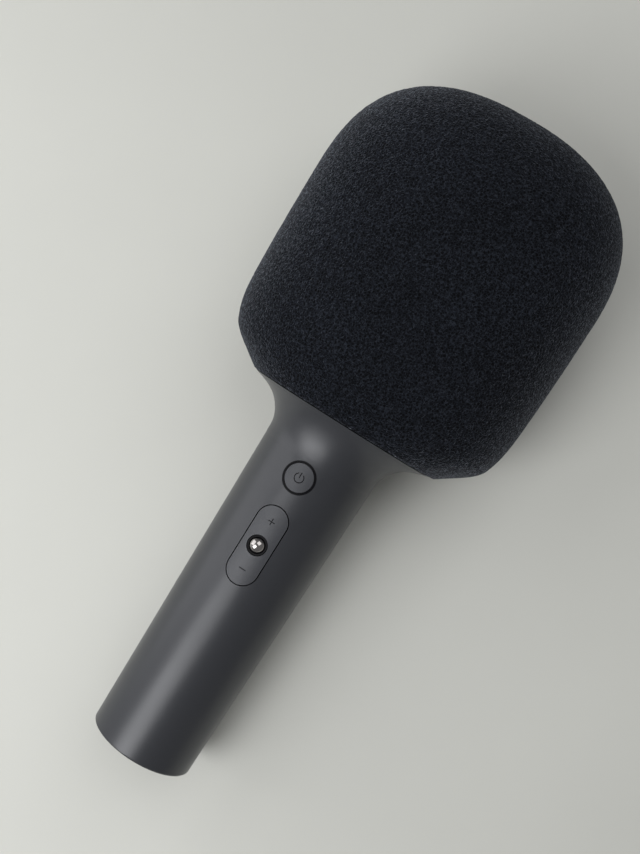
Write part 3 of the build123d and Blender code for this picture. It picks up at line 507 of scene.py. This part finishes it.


# ---------------------------------------------------------------- painted shade in the keys' mark grooves
TAIL_R, NECK_R, NECK_Z = 18.65, 20.55, 114.0  # the grip's radius at its tail and at NECK_Z
POWER_Z, PLUS_Z, MINUS_Z = 108.2, 91.4, 73.4
GROOVE_DEPTH, GROOVE_WIDTH = 0.22, 0.32
RING_R = 1.75 - GROOVE_WIDTH / 2  # the power mark's circle
RING_GAP = 32.0  # degrees from its top to each of its ends
BAR_ENDS = (-0.1, 1.2)  # the power mark's bar, as shares of the circle's radius
# dark strips on the groove floors: painted shade that darkens the engraved marks
SHADE_STRIP_WIDTH, SHADE_STRIP_THICKNESS, SHADE_STRIP_LENGTH = 0.30, 0.07, 2.36


def groove_shade_strip(path, mark_z):
    """Points and faces of a thin dark strip of painted shade along a path of (x, z) on a groove's
    floor.
    """
    path = np.array(path, dtype=float)
    along = np.gradient(path, axis=0)
    along /= np.linalg.norm(along, axis=1)[:, None]
    side = np.column_stack([-along[:, 1], along[:, 0]]) * SHADE_STRIP_WIDTH / 2
    floor = TAIL_R + (NECK_R - TAIL_R) * mark_z / NECK_Z - GROOVE_DEPTH
    points = []
    for (x, z), (dx, dz) in zip(path, side):
        for sign, rise in ((1, 0), (1, SHADE_STRIP_THICKNESS), (-1, SHADE_STRIP_THICKNESS), (-1, 0)):
            points.append((x + sign * dx, floor + rise, z + sign * dz))
    faces = [(3, 2, 1, 0), tuple(len(points) - 4 + i for i in range(4))]
    for step in range(len(path) - 1):
        faces += [
            (4 * step + i, 4 * step + (i + 1) % 4, 4 * step + 4 + (i + 1) % 4, 4 * step + 4 + i)
            for i in range(4)
        ]
    return points, faces


def make_groove_shade(name, body, mark_z, paths):
    """One piece of painted groove shade, from a strip along each path."""
    points, faces = [], []
    for path in paths:
        more_points, more_faces = groove_shade_strip(path, mark_z)
        faces += [tuple(len(points) + i for i in face) for face in more_faces]
        points += more_points
    # the strips take the dark smoked look as painted shade in the grooves
    make_mesh(name, points, faces, "smoked", body, smooth=False)


def make_all_groove_shades():
    """Painted shade strips in the grooves of the power, plus and minus marks."""
    turns = np.radians(np.linspace(90 + RING_GAP, 450 - RING_GAP, 60))
    ring = [(RING_R * cos(turn), POWER_Z + RING_R * sin(turn)) for turn in turns]
    bar = [(0, POWER_Z + share * RING_R) for share in BAR_ENDS]
    make_groove_shade("power_mark_shade", "power_key", POWER_Z, [ring, bar])
    half = SHADE_STRIP_LENGTH / 2
    plus = [[(-half, PLUS_Z), (half, PLUS_Z)]]
    plus += [[(0, PLUS_Z + side * SHADE_STRIP_WIDTH / 2), (0, PLUS_Z + side * half)] for side in (-1, 1)]
    make_groove_shade("plus_mark_shade", "volume_key", PLUS_Z, plus)
    make_groove_shade("minus_mark_shade", "volume_key", MINUS_Z, [[(-half, MINUS_Z), (half, MINUS_Z)]])


# ---------------------------------------------------------------- floor and light
FLOOR_SIZE = 6.0
FLOOR_COLOUR = (0.56, 0.565, 0.53)


def make_floor():
    mesh = bpy.data.meshes.new("floor")
    half = FLOOR_SIZE / 2
    corners = [(-half, -half, 0), (half, -half, 0), (half, half, 0), (-half, half, 0)]
    mesh.from_pydata(corners, [], [(0, 1, 2, 3)])
    floor = bpy.data.objects.new("floor", mesh)
    bpy.context.scene.collection.objects.link(floor)
    look = Look("floor", Roughness=0.6)
    drift = look.noise(90.0, detail=3.0)
    look.set("Base Color", look.ramp(drift, (0.3, shade(FLOOR_COLOUR, 0.97)), (0.7, FLOOR_COLOUR)))
    look.bump(look.noise(1.5), 0.02)
    mesh.materials.append(look.material)


# each lamp's azimuth from +X and its elevation in degrees, its distance and size in metres, watts
LAMPS = {
    "key_high": (248, 58, 0.60, 0.35, 1.26),
    "key_middle": (246, 40, 0.60, 0.32, 1.0),
    "side": (217, 20, 0.50, 0.40, 0.16),
    "back_low": (182, 28, 0.50, 0.50, 1.2),
    "right": (72, 55, 0.70, 0.60, 1.6),
}
LIT_POINT = Vector((0, 0, 0.03))
WORLD_LIGHT = 0.215


def make_lights():
    for name, (azimuth, elevation, distance, size, power) in LAMPS.items():
        turn, lift = radians(azimuth), radians(elevation)
        level = Vector((cos(turn), sin(turn), 0)) * cos(lift)
        place = LIT_POINT + distance * (level + Vector((0, 0, sin(lift))))
        make_light(name, place, LIT_POINT, size, power)
    world = bpy.data.worlds.new("world")
    bpy.context.scene.world = world
    world.use_nodes = True
    background = world.node_tree.nodes["Background"]
    background.inputs["Color"].default_value = (1, 1, 1, 1)
    background.inputs["Strength"].default_value = WORLD_LIGHT
    bpy.context.scene.view_settings.view_transform = "Standard"


make_camera()
make_floor()
make_lights()
paint_cad_nodes()
make_foam()
make_all_groove_shades()
